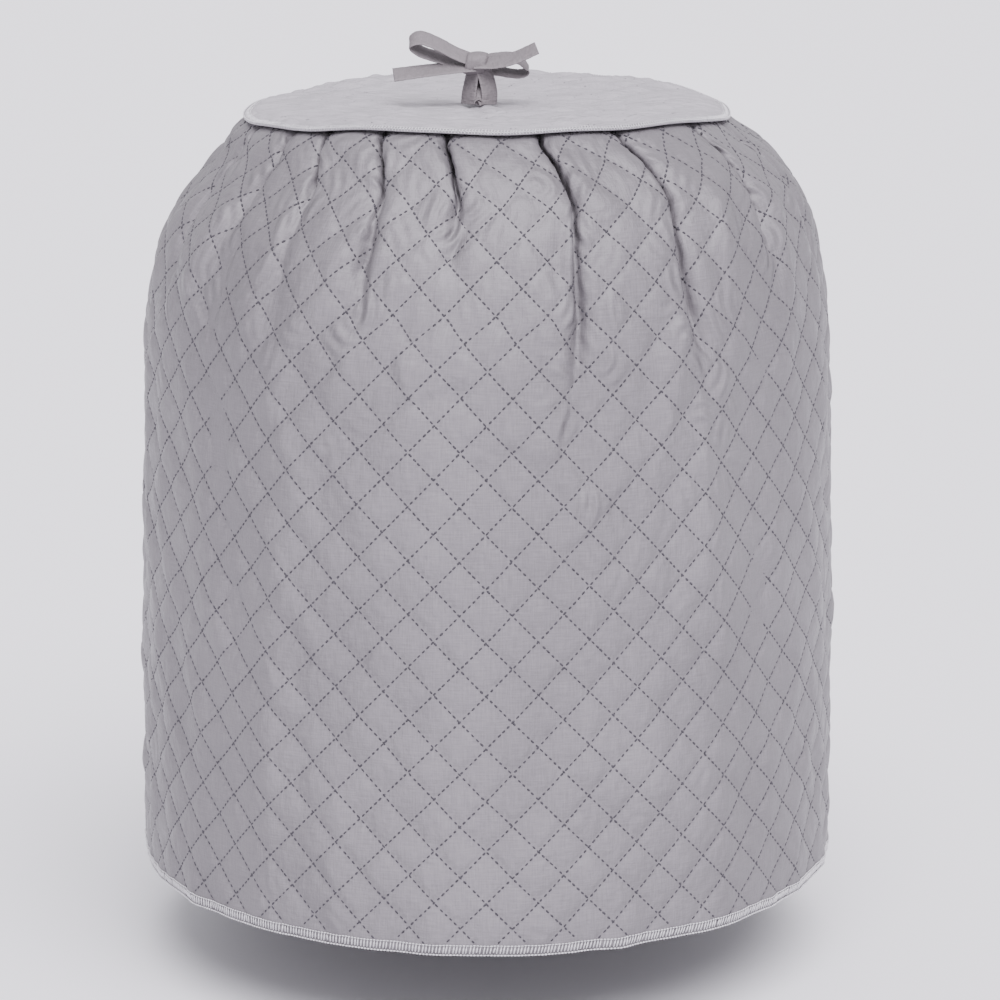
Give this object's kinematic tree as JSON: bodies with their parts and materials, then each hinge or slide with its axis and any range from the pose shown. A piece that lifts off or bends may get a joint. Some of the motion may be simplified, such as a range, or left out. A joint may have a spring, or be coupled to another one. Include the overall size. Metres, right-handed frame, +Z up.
{
  "type": "gas cylinder cover",
  "caption": "Round quilted fabric cover for a squat gas cylinder: gathered bell-shaped skirt, flat quilted lid, tape tied in a bow on top.",
  "frame": {"origin": "underside of the lid at its middle, where the cover rests on the top of the cylinder", "axes": "+Z up out of the lid, towards the bow; the cover's front faces -Y; +X is to the right of someone looking at the front"},
  "size_m": [0.3774, 0.3773, 0.4437],
  "materials": {
    "quilted_cloth": "grey woven polyester with a satin sheen, quilted",
    "lid_cloth": "grey woven polyester with a satin sheen, quilted and crinkled",
    "tape": "matt grey folded and stitched tape"
  },
  "bodies": {
    "root": {"skirt": "quilted_cloth", "lid": "lid_cloth", "tie": "tape"}
  },
  "joints": []
}
